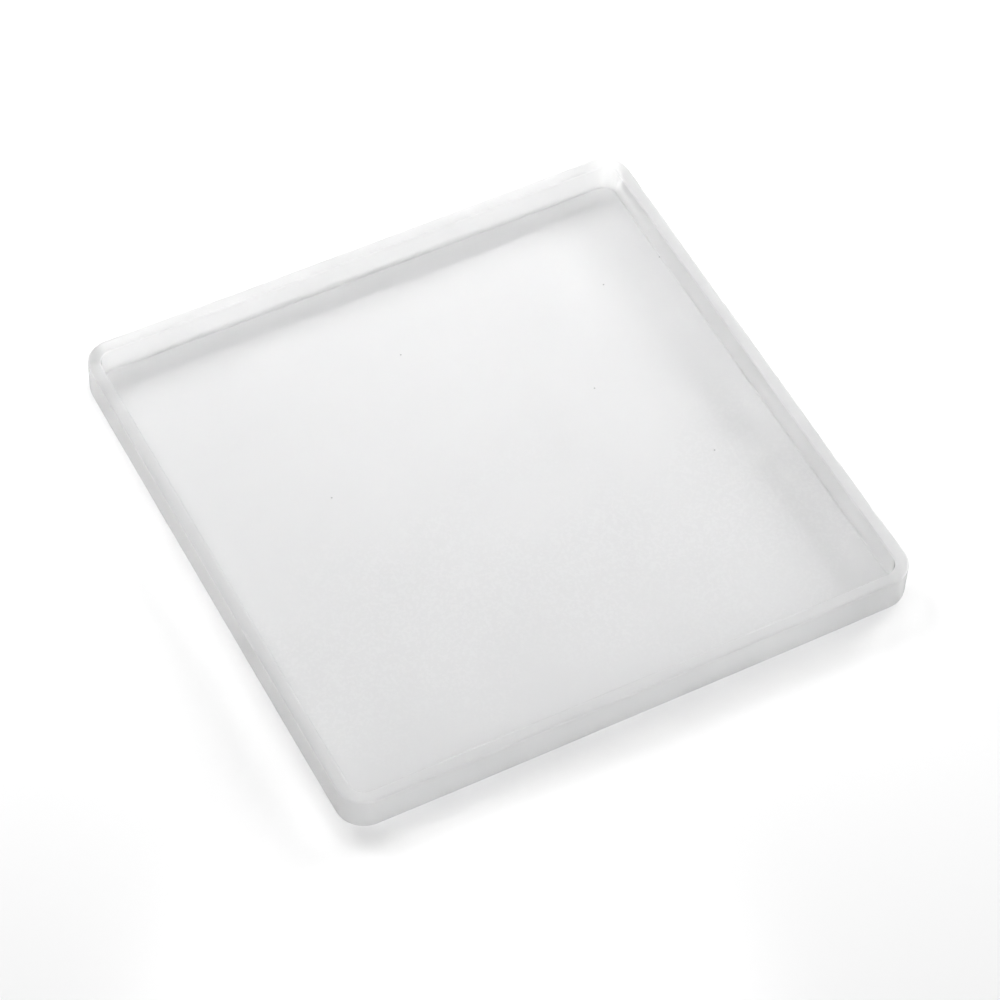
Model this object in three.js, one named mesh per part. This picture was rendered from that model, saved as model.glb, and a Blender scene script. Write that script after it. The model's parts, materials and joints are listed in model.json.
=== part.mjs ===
// A square silicone tray for casting resin: one soft piece with a flat floor, four upright walls
// of even thickness and rounded upright corners. It is open above, so it is a single thin solid
// that runs up the outside of the walls, over the rim and down to the cavity floor.
// Millimetres, +Z up, origin at the middle of the underside.

import * as THREE from 'three';

// Driving dimensions
const outerSide = 150; // across the outside of two opposite walls
const overallHeight = 10; // underside to rim
const wallThickness = 3.2;
const floorThickness = 2;
const outerCornerRadius = 7; // of the four upright corners
const footRound = 0.9; // along the bottom edge of the outside
const rimRound = 0.4; // along both edges of the rim
const cavityRound = 0.3; // inside, where the walls meet the floor

// Facets on each quarter turn of a corner, and on each rounded edge of the wall section
const cornerFacets = 10;
const edgeFacets = 3;

const quarterTurn = Math.PI / 2;

// A quarter circle of the wall section. A section point is its inset from the outer face and its
// height above the underside; the arc starts at startAngle and sweeps towards endAngle.
function sectionArc(centreInset, centreHeight, radius, startAngle, endAngle) {
  return Array.from({ length: edgeFacets + 1 }, (_, facet) => {
    const angle = THREE.MathUtils.lerp(startAngle, endAngle, facet / edgeFacets);
    return {
      inset: centreInset + radius * Math.cos(angle),
      height: centreHeight + radius * Math.sin(angle),
    };
  });
}

// From the edge of the underside, up and over the wall, to the edge of the cavity floor
function wallSection() {
  const rimArcHeight = overallHeight - rimRound;
  return [
    ...sectionArc(footRound, footRound, footRound, 3 * quarterTurn, 2 * quarterTurn),
    ...sectionArc(rimRound, rimArcHeight, rimRound, 2 * quarterTurn, quarterTurn),
    ...sectionArc(wallThickness - rimRound, rimArcHeight, rimRound, quarterTurn, 0),
    ...sectionArc(
      wallThickness + cavityRound,
      floorThickness + cavityRound,
      cavityRound,
      2 * quarterTurn,
      3 * quarterTurn,
    ),
  ];
}

// One section point carried round the square. The corner arcs of every ring share their centres,
// so the wall keeps its thickness round the corners.
function ringAt({ inset, height }) {
  const arcCentre = outerSide / 2 - outerCornerRadius;
  const radius = outerCornerRadius - inset;
  const ring = [];
  for (let corner = 0; corner < 4; corner += 1) {
    for (let facet = 0; facet <= cornerFacets; facet += 1) {
      const angle = (facet / cornerFacets) * quarterTurn;
      const point = new THREE.Vector3(
        arcCentre + radius * Math.cos(angle),
        arcCentre + radius * Math.sin(angle),
        height,
      );
      ring.push(point.applyAxisAngle(new THREE.Vector3(0, 0, 1), corner * quarterTurn));
    }
  }
  return ring;
}

// Two triangles between each pair of neighbours on two successive rings
function bandIndices(firstRing, ringLength) {
  const indices = [];
  for (let place = 0; place < ringLength; place += 1) {
    const next = (place + 1) % ringLength;
    const low = firstRing * ringLength;
    const high = low + ringLength;
    indices.push(low + place, low + next, high + next);
    indices.push(low + place, high + next, high + place);
  }
  return indices;
}

// The flat faces inside the first and the last ring: the underside and the cavity floor
function flatIndices(ring, firstVertex, facesDown) {
  const outline = ring.map((point) => new THREE.Vector2(point.x, point.y));
  const triangles = THREE.ShapeUtils.triangulateShape(outline, []);
  return triangles.flatMap(([a, b, c]) => {
    const order = facesDown ? [a, c, b] : [a, b, c];
    return order.map((vertex) => firstVertex + vertex);
  });
}

function trayGeometry() {
  const rings = wallSection().map(ringAt);
  const ringLength = rings[0].length;
  const lastRing = rings.length - 1;
  const indices = [
    ...flatIndices(rings[0], 0, true),
    ...rings.slice(1).flatMap((_, band) => bandIndices(band, ringLength)),
    ...flatIndices(rings[lastRing], lastRing * ringLength, false),
  ];
  const geometry = new THREE.BufferGeometry().setFromPoints(rings.flat());
  geometry.setIndex(indices);
  geometry.computeVertexNormals();
  return geometry;
}

// Translucent milky silicone rubber
const milkySilicone = new THREE.MeshStandardMaterial({
  color: '#ecedec',
  roughness: 0.35,
  metalness: 0,
  transparent: true,
  opacity: 0.9,
});

const mouldTray = new THREE.Mesh(trayGeometry(), milkySilicone);
mouldTray.name = 'mould_tray';

const castingMould = new THREE.Group();
castingMould.add(mouldTray);

export default castingMould;
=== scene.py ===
import bpy
import json
import math
from mathutils import Matrix, Vector


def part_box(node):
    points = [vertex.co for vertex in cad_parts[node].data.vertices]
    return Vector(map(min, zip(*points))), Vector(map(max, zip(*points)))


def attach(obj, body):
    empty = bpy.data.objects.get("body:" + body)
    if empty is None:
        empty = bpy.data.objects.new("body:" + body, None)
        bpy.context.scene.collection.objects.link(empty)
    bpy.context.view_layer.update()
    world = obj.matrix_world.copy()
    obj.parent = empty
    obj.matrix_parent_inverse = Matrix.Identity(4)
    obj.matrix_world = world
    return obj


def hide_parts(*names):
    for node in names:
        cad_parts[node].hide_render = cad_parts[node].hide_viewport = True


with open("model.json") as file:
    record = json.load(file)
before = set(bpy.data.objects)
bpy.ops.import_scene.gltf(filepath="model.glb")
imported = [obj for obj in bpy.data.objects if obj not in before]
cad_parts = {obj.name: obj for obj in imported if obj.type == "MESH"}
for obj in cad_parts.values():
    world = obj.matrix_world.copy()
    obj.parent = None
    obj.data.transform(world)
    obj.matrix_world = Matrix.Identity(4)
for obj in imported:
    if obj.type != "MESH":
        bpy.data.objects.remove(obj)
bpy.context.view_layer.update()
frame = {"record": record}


# ---- The mould ---------------------------------------------------------------------------------
# One soft tray of milky silicone rubber, poured in one shot round a polished master: a flat floor
# with four even walls round it. Nothing is fixed to it. The soft walls lean a little here and
# there, and the corners curl up by half a millimetre.

tray_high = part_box("mould_tray")[1]
mounts = {mount["name"]: mount["pos_m"] for mount in frame["record"]["mounts"]}
half_side = tray_high.x
rim_middle, _, rim_height = mounts["rim"]
floor_height = mounts["cavity_floor"][2]
wall = 2 * (half_side - rim_middle)
corner_radius = 0.007
foot_round = 0.0009
rim_round = 0.0004
cavity_round = 0.0003


class Wire:
    """A node's socket. Arithmetic on it adds Math nodes to the same tree."""

    def __init__(self, tree, socket):
        self.tree = tree
        self.socket = socket

    def math(self, operation, *values):
        return add(self.tree, "ShaderNodeMath", {"operation": operation}, *values)[0]

    def __add__(self, other):
        return self.math("ADD", self, other)

    def __sub__(self, other):
        return self.math("SUBTRACT", self, other)

    def __rsub__(self, other):
        return self.math("SUBTRACT", other, self)

    def __mul__(self, other):
        return self.math("MULTIPLY", self, other)

    def __truediv__(self, other):
        return self.math("DIVIDE", self, other)

    def __pow__(self, other):
        return self.math("POWER", self, other)

    def __lt__(self, other):
        return self.math("LESS_THAN", self, other)

    def __gt__(self, other):
        return self.math("GREATER_THAN", self, other)

    __radd__ = __add__
    __rmul__ = __mul__

    def clamp(self, low, high):
        return self.math("MINIMUM", self.math("MAXIMUM", self, low), high)


def add(tree, kind, settings=None, *values, **named):
    """Adds a node: its settings first, then its sockets' values or wires, in order or by name."""
    made = tree.nodes.new(kind)
    for name, setting in (settings or {}).items():
        setattr(made, name, setting)
    for key, value in [*enumerate(values), *named.items()]:
        socket = made.inputs[key.replace("_", " ") if isinstance(key, str) else key]
        if isinstance(value, Wire):
            tree.links.new(value.socket, socket)
        elif value is not None:
            socket.default_value = value
    return [Wire(tree, socket) for socket in made.outputs if socket.enabled]


def tree_inputs(tree, sizes):
    """Gives the tree a named number input for each size, and returns their wires."""
    for name, value in sizes.items():
        kind = "NodeSocketInt" if isinstance(value, int) else "NodeSocketFloat"
        tree.interface.new_socket(name, in_out="INPUT", socket_type=kind)
    group = tree.nodes.new("NodeGroupInput")
    return {name: Wire(tree, group.outputs[name]) for name in sizes}


def rounded_sheet(tree, size, ring_radius, height):
    """A flat grid whose border is a square with round corners of ring_radius."""
    reach = size["Half Side"] - size["Corner Radius"]
    span = size["Half Side"] * 2
    lines = size["Cells Across"] + 1
    mesh = add(tree, "GeometryNodeMeshGrid", None, span, span, lines, lines)[0]
    x, y, z = add(tree, "ShaderNodeSeparateXYZ", None, add(tree, "GeometryNodeInputPosition")[0])
    core_x = x.clamp(0 - reach, reach)
    core_y = y.clamp(0 - reach, reach)
    across = (x - core_x) / size["Corner Radius"]
    along = (y - core_y) / size["Corner Radius"]
    round_x = core_x + across * (1 - along * along / 2) ** 0.5 * ring_radius
    round_y = core_y + along * (1 - across * across / 2) ** 0.5 * ring_radius
    place = add(tree, "ShaderNodeCombineXYZ", None, round_x, round_y, height)[0]
    return add(tree, "GeometryNodeSetPosition", None, mesh, None, place)[0]


def section_arc(inset, height, radius, start, turn):
    """A quarter circle of the wall section, with a close point on each side to keep flats flat."""
    steps = 6
    support = 0.00008
    quarter = math.pi / 2
    points = []
    for step in range(steps + 1):
        angle = start + turn * quarter * step / steps
        points.append((inset + radius * math.cos(angle), height + radius * math.sin(angle)))
    finish = start + turn * quarter
    lead = support * turn
    first = points[0][0] + lead * math.sin(start), points[0][1] - lead * math.cos(start)
    last = points[-1][0] - lead * math.sin(finish), points[-1][1] + lead * math.cos(finish)
    return [first, *points, last]


# The wall section as inset from the outer face and height, from cavity floor to underside
to_right = 0
to_top = math.pi / 2
to_left = math.pi
to_foot = 3 * math.pi / 2
inner_foot = section_arc(wall + cavity_round, floor_height + cavity_round, cavity_round, to_foot, -1)
inner_edge = section_arc(wall - rim_round, rim_height - rim_round, rim_round, to_right, 1)
outer_edge = section_arc(rim_round, rim_height - rim_round, rim_round, to_top, 1)
outer_foot = section_arc(foot_round, foot_round, foot_round, to_left, 1)
section = inner_foot[1:] + inner_edge + outer_edge + outer_foot[:-1]

section_curve = bpy.data.curves.new("wall_section", "CURVE")
section_curve.dimensions = "3D"
section_line = section_curve.splines.new("POLY")
section_line.points.add(len(section) - 1)
for point, (inset, height) in zip(section_line.points, section):
    point.co = (inset - section[0][0], section[0][1] - height, 0, 1)
section_object = bpy.data.objects.new("wall_section", section_curve)

tray_sizes = {
    "Half Side": half_side,
    "Corner Radius": corner_radius,
    "Floor Height": floor_height,
    "Rim Height": rim_height,
    "Cavity Border Radius": corner_radius - section[0][0],
    "Underside Border Radius": corner_radius - section[-1][0],
    "Cells Across": 150,
    "Corner Curl": 0.0005,
    "Wall Sway": 0.0002,
    "Sway Scale": 22.0,
    "Seed": 4.0,
}
tree = bpy.data.node_groups.new("silicone_tray", "GeometryNodeTree")
tree.interface.new_socket("Geometry", in_out="OUTPUT", socket_type="NodeSocketGeometry")
size = tree_inputs(tree, tray_sizes)
cavity_floor = rounded_sheet(tree, size, size["Cavity Border Radius"], size["Floor Height"])
underside = rounded_sheet(tree, size, size["Underside Border Radius"], 0.0)
underside = add(tree, "GeometryNodeFlipFaces", None, underside)[0]

# The walls: the section swept round the border of the cavity floor, then all borders welded
one_face_only = 1.5
on_border = add(tree, "GeometryNodeInputMeshEdgeNeighbors")[0] < one_face_only
border = add(tree, "GeometryNodeMeshToCurve", None, cavity_floor, on_border)[0]
border = add(tree, "GeometryNodeSetCurveNormal", {"mode": "Z_UP"}, border)[0]
section_shape = add(tree, "GeometryNodeObjectInfo", None, section_object)[-1]
walls = add(tree, "GeometryNodeCurveToMesh", None, border, section_shape)[0]
walls = add(tree, "GeometryNodeFlipFaces", None, walls)[0]
join = tree.nodes.new("GeometryNodeJoinGeometry")
for piece in (walls, underside, cavity_floor):
    tree.links.new(piece.socket, join.inputs[0])
weld_distance = 0.0001
joined = Wire(tree, join.outputs[0])
skin = add(tree, "GeometryNodeMergeByDistance", None, joined, on_border, weld_distance)[0]

# Soft rubber never stands quite true: the corners curl up, and the walls lean in and out
position = add(tree, "GeometryNodeInputPosition")[0]
x, y, z = add(tree, "ShaderNodeSeparateXYZ", None, position)
towards_corner = (x * y / (size["Half Side"] * size["Half Side"])) ** 4
noise = {"noise_dimensions": "4D"}
lean = add(tree, "ShaderNodeTexNoise", noise, position, size["Seed"], size["Sway Scale"], 1.0)[0]
sway = (lean - 0.5) * size["Wall Sway"] * z / size["Rim Height"]
shift = add(tree, "ShaderNodeCombineXYZ", None, sway, sway, towards_corner * size["Corner Curl"])[0]
skin = add(tree, "GeometryNodeSetPosition", None, skin, None, None, shift)[0]
skin = add(tree, "GeometryNodeSetShadeSmooth", None, skin)[0]
skin = add(tree, "GeometryNodeRealizeInstances", None, skin)[0]


def milky_silicone():
    """Translucent milky rubber: hazy inside, with a smooth clear face copied from the master."""
    material = bpy.data.materials.new("milky_silicone")
    material.use_nodes = True
    shader = material.node_tree
    shader.nodes.clear()
    place = add(shader, "ShaderNodeTexCoord")[3]
    x, y, z = add(shader, "ShaderNodeSeparateXYZ", None, place)
    from_middle = x.math("MAXIMUM", x.math("ABSOLUTE", x), y.math("ABSOLUTE", y))
    clearance = 0.0001
    cavity_top = rim_height - 0.0003
    cavity_bottom = floor_height / 2
    inside = from_middle < half_side - wall + clearance
    in_cavity = inside * (z < cavity_top) * (z > cavity_bottom)
    on_floor = in_cavity * (z < floor_height + clearance)

    # Clouds of filler a few centimetres wide, and a fine grain of about a millimetre
    clouds = add(shader, "ShaderNodeTexNoise", None, place, Scale=38.0, Detail=3.0)[0]
    grain = add(shader, "ShaderNodeTexNoise", None, place, Scale=950.0, Detail=2.0)[0]
    milk = 0.84 + clouds * 0.02

    # Dust cured into the cavity floor: one dark speck in about an eighth of the 18 mm squares
    specks_per_metre = 55.0
    speck_radius = 0.00022
    speck_darkness = 0.5
    clean_share = 0.88
    flat = {"voronoi_dimensions": "2D"}
    distance, shade = add(shader, "ShaderNodeTexVoronoi", flat, place, Scale=specks_per_metre)[:2]
    luck = add(shader, "ShaderNodeSeparateXYZ", None, shade)[0]
    speck = (distance < speck_radius * specks_per_metre) * (luck > clean_share) * on_floor
    milk = milk * (1 - speck * speck_darkness)
    colour = add(shader, "ShaderNodeCombineXYZ", None, milk, milk, milk)[0]

    # A bloom of release agent on the floor, in a ragged band nearer to one wall, in fine flecks
    band_middle = 0.45
    band_raggedness = 1.2
    band_strength = 1.3
    band_edge = 2.4
    off_band = band_middle + y / half_side + (clouds - 0.5) * band_raggedness
    bloom = band_strength - off_band.math("ABSOLUTE", off_band) * band_edge
    bloom = bloom.clamp(0.0, 1.0) * on_floor
    fine_grain = add(shader, "ShaderNodeTexNoise", None, place, Scale=1300.0, Detail=2.0)[0]
    fleck_level = 0.53
    flecks = (fine_grain > fleck_level) * bloom

    # Gloss: full in the polished cavity, satin outside, and dulled by the flecks
    satin = 0.35
    fleck_dulling = 0.7
    gloss = satin + in_cavity * (1 - satin) - flecks * fleck_dulling

    grain_height = 0.000004
    relief = add(shader, "ShaderNodeBump", None, Strength=1.0, Distance=grain_height, Height=grain)[0]
    surface = add(
        shader,
        "ShaderNodeBsdfPrincipled",
        None,
        Base_Color=colour,
        Roughness=0.95 + (clouds - 0.5) * 0.1,
        IOR=1.2,
        Normal=relief,
        Subsurface_Weight=1.0,
        Subsurface_Radius=(1.0, 1.0, 1.0),
        Subsurface_Scale=0.003,
        Transmission_Weight=0.8,
        Coat_Weight=gloss,
        Coat_Roughness=0.04,
        Coat_IOR=1.41,
    )[0]
    add(shader, "ShaderNodeOutputMaterial", None, surface)
    return material


skin = add(tree, "GeometryNodeSetMaterial", None, skin, None, milky_silicone())[0]
add(tree, "NodeGroupOutput", None, skin)

blank = bpy.data.objects.new("tray_blank", bpy.data.meshes.new("tray_blank"))
bpy.context.scene.collection.objects.link(blank)
maker = blank.modifiers.new("tray", "NODES")
maker.node_group = tree
for item in tree.interface.items_tree:
    if item.in_out == "INPUT":
        maker[item.identifier] = tray_sizes[item.name]
evaluated = blank.evaluated_get(bpy.context.evaluated_depsgraph_get())
tray = bpy.data.objects.new("silicone_tray", bpy.data.meshes.new_from_object(evaluated))
bpy.context.scene.collection.objects.link(tray)
blank.modifiers.remove(maker)
bpy.data.objects.remove(blank)
bpy.data.objects.remove(section_object)
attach(tray, "root")
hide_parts("mould_tray")


# ---- The table ---------------------------------------------------------------------------------
# A glossy white board that the mould lies on, wide enough to be the background from any side. It
# sits a hair under the mould, so that the two flat faces don't share one plane.

board_side = 6.0
board_gap = 0.00002
corners = [(-1, -1), (1, -1), (1, 1), (-1, 1)]
board_mesh = bpy.data.meshes.new("white_board")
board_points = [(x * board_side / 2, y * board_side / 2, -board_gap) for x, y in corners]
board_mesh.from_pydata(board_points, [], [(0, 1, 2, 3)])
board = bpy.data.objects.new("white_board", board_mesh)
bpy.context.scene.collection.objects.link(board)
board_white = bpy.data.materials.new("white_board")
board_white.use_nodes = True
paint = board_white.node_tree
paint.nodes.clear()
off_white = (0.92, 0.92, 0.92, 1.0)
lacquer = add(paint, "ShaderNodeBsdfPrincipled", None, Base_Color=off_white, Roughness=0.15)[0]
add(paint, "ShaderNodeOutputMaterial", None, lacquer)
board_mesh.materials.append(board_white)


# ---- The light ---------------------------------------------------------------------------------
# A studio for glossy things: round soft lamps close behind and beside the mould, which make its
# far side brighter than its near one, and broad soft glows in the room round them. The strongest
# glow behind shows in the gloss of the floor. The eye itself sees a plain pale backdrop.

# Compass angle, height (degrees), distance and width (metres), power (watts)
lamps = {
    "behind_high": (62, 75, 0.6, 0.25, 0.6),
    "left": (110, 45, 0.7, 0.3, 2.2),
    "right": (15, 30, 0.7, 0.3, 2.4),
}
# Compass angle, height and spread (degrees), brightness
glows = {
    "behind": (62, 42, 9, 5.0),
    "behind_high": (62, 50, 7, 1.3),
    "right": (15, 25, 13, 3.0),
    "left_low": (180, 25, 14, 2.5),
    "front": (-90, 50, 16, 4.0),
    "front_low": (-90, 25, 14, 1.8),
}
backdrop_light = 0.95


def towards(compass, height):
    """The direction at a compass angle and a height, both in degrees."""
    turn = math.radians(compass)
    rise = math.radians(height)
    level = math.cos(rise)
    return Vector((level * math.cos(turn), level * math.sin(turn), math.sin(rise)))


for name, (compass, height, distance, width, power) in lamps.items():
    lamp_data = bpy.data.lights.new(name, "AREA")
    lamp_data.shape = "DISK"
    lamp_data.size = width
    lamp_data.energy = power
    lamp = bpy.data.objects.new(name, lamp_data)
    bpy.context.scene.collection.objects.link(lamp)
    outwards = towards(compass, height)
    lamp.location = outwards * distance
    lamp.rotation_euler = (-outwards).to_track_quat("-Z", "Y").to_euler()
    lamp.visible_camera = False

studio = bpy.data.worlds.new("studio")
bpy.context.scene.world = studio
studio.use_nodes = True
air = studio.node_tree
air.nodes.clear()
sky = add(air, "ShaderNodeTexCoord")[0]

# The pale walls of the room show only near the horizon
room_walls = 0.8
wall_fade = -8.0
rise = add(air, "ShaderNodeSeparateXYZ", None, sky)[2]
light = rise.math("EXPONENT", rise.math("ABSOLUTE", rise) * wall_fade) * room_walls
for compass, height, spread, strength in glows.values():
    middle = towards(compass, height)
    facing = add(air, "ShaderNodeVectorMath", {"operation": "DOT_PRODUCT"}, sky, middle)[-1]
    falloff = 1 / (1 - math.cos(math.radians(spread)))
    light = light + facing.math("EXPONENT", (facing - 1) * falloff) * strength
seen = add(air, "ShaderNodeLightPath")[0]
shown = light * (1 - seen) + seen * backdrop_light
white = (1.0, 1.0, 1.0, 1.0)
glow = add(air, "ShaderNodeBackground", None, white, shown)[0]
add(air, "ShaderNodeOutputWorld", None, glow)


# ---- The camera --------------------------------------------------------------------------------
# A long lens, looking down on the tray across its near corner.

aim = Vector((-0.0037, -0.0115, rim_height))
roll = math.radians(2.54)
distance = 0.9367
camera_data = bpy.data.cameras.new("camera")
camera_data.sensor_width = 36.0
camera_data.lens = 141.3
camera_data.clip_end = 20.0
camera = bpy.data.objects.new("camera", camera_data)
bpy.context.scene.collection.objects.link(camera)
outwards = towards(-119.6, 52.51)
stand = Matrix.Translation(aim + outwards * distance)
look = (-outwards).to_track_quat("-Z", "Y").to_matrix().to_4x4()
camera.matrix_world = stand @ look @ Matrix.Rotation(roll, 4, "Z")
bpy.context.scene.camera = camera
bpy.context.scene.view_settings.view_transform = "Standard"
